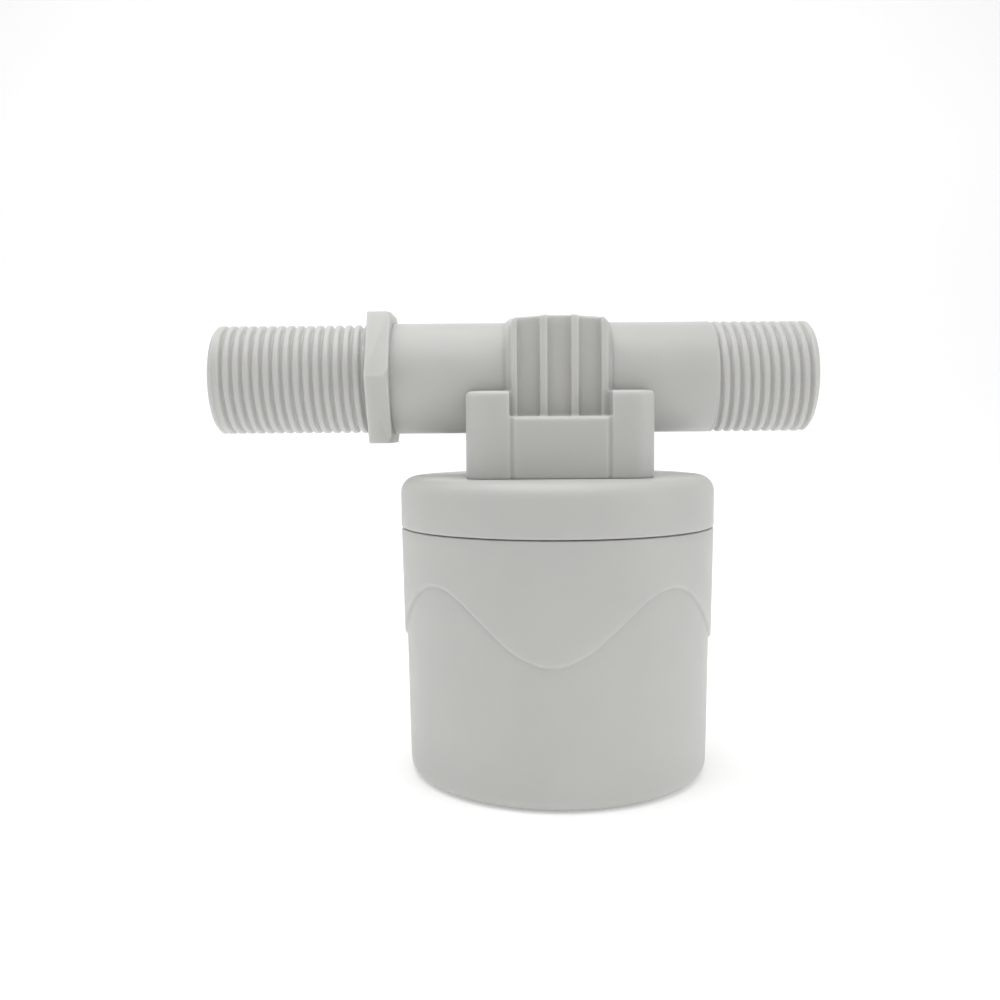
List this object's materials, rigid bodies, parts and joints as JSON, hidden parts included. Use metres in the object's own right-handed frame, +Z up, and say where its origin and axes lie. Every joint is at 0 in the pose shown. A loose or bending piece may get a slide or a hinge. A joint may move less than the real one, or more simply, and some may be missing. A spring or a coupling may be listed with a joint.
{
  "type": "float valve",
  "caption": "Bucket float valve: a threaded through pipe with a hex collar on a round lidded bucket that holds a float, a pilot lever and a spring-closed piston.",
  "frame": {"origin": "middle of the bucket's flat base, on the bucket's vertical axis", "axes": "+Z up along the bucket's axis; +X along the pipe, from the inlet with the hex collar to the outlet"},
  "size_m": [0.1164, 0.062, 0.0906],
  "materials": {
    "shell_plastic": "satin moulded",
    "inner_plastic": "satin moulded",
    "float_plastic": "satin moulded",
    "seal_rubber": "matt",
    "grey_rubber": "matt",
    "steel": "bright",
    "brass": "turned"
  },
  "bodies": {
    "housing": {"valve_body": "shell_plastic", "inlet_strainer": "inner_plastic", "lid": "shell_plastic", "body_gasket": "seal_rubber", "pilot_jet": "brass", "jet_ring": "seal_rubber", "lid_screw_1": "steel", "lid_screw_2": "steel", "lid_screw_3": "steel", "lid_screw_4": "steel", "lever_pin": "steel"},
    "piston": {"valve_piston": "inner_plastic", "piston_seal": "seal_rubber", "seat_washer": "seal_rubber", "washer_screw": "steel", "piston_spring": "steel"},
    "lever": {"pilot_lever": "inner_plastic", "pilot_pad": "seal_rubber"},
    "float": {"float_shell": "float_plastic", "float_cap": "float_plastic", "float_stem": "inner_plastic", "link_pin": "steel"},
    "bucket": {"bucket": "shell_plastic"},
    "drain_valve": {"drain_valve": "grey_rubber"}
  },
  "joints": [
    {"name": "float_lift", "type": "slide", "parent": "housing", "child": "float", "axis": [0, 0, 1], "range_m": [0, 0.0039]},
    {"name": "lever_tilt", "type": "hinge", "parent": "housing", "child": "lever", "pos_m": [-0.012, 0, 0.0433], "axis": [0, -1, 0], "range_deg": [0, 9.5]},
    {"name": "piston_slide", "type": "slide", "parent": "housing", "child": "piston", "axis": [0, 0, 1], "range_m": [-0.003, 0], "stiffness_N_per_m": 120, "springref_m": 0.006, "deforming": ["piston_spring"]},
    {"name": "bucket_twist", "type": "hinge", "parent": "housing", "child": "bucket", "pos_m": [0, 0, 0], "axis": [0, 0, 1], "range_deg": [0, 30]},
    {"name": "drain_valve_lift", "type": "slide", "parent": "bucket", "child": "drain_valve", "axis": [0, 0, 1], "range_m": [0, 0.0008]}
  ],
  "couplings": [
    {"joint": "lever_tilt", "follows": "float_lift", "rad_per_m": 41.71}
  ]
}
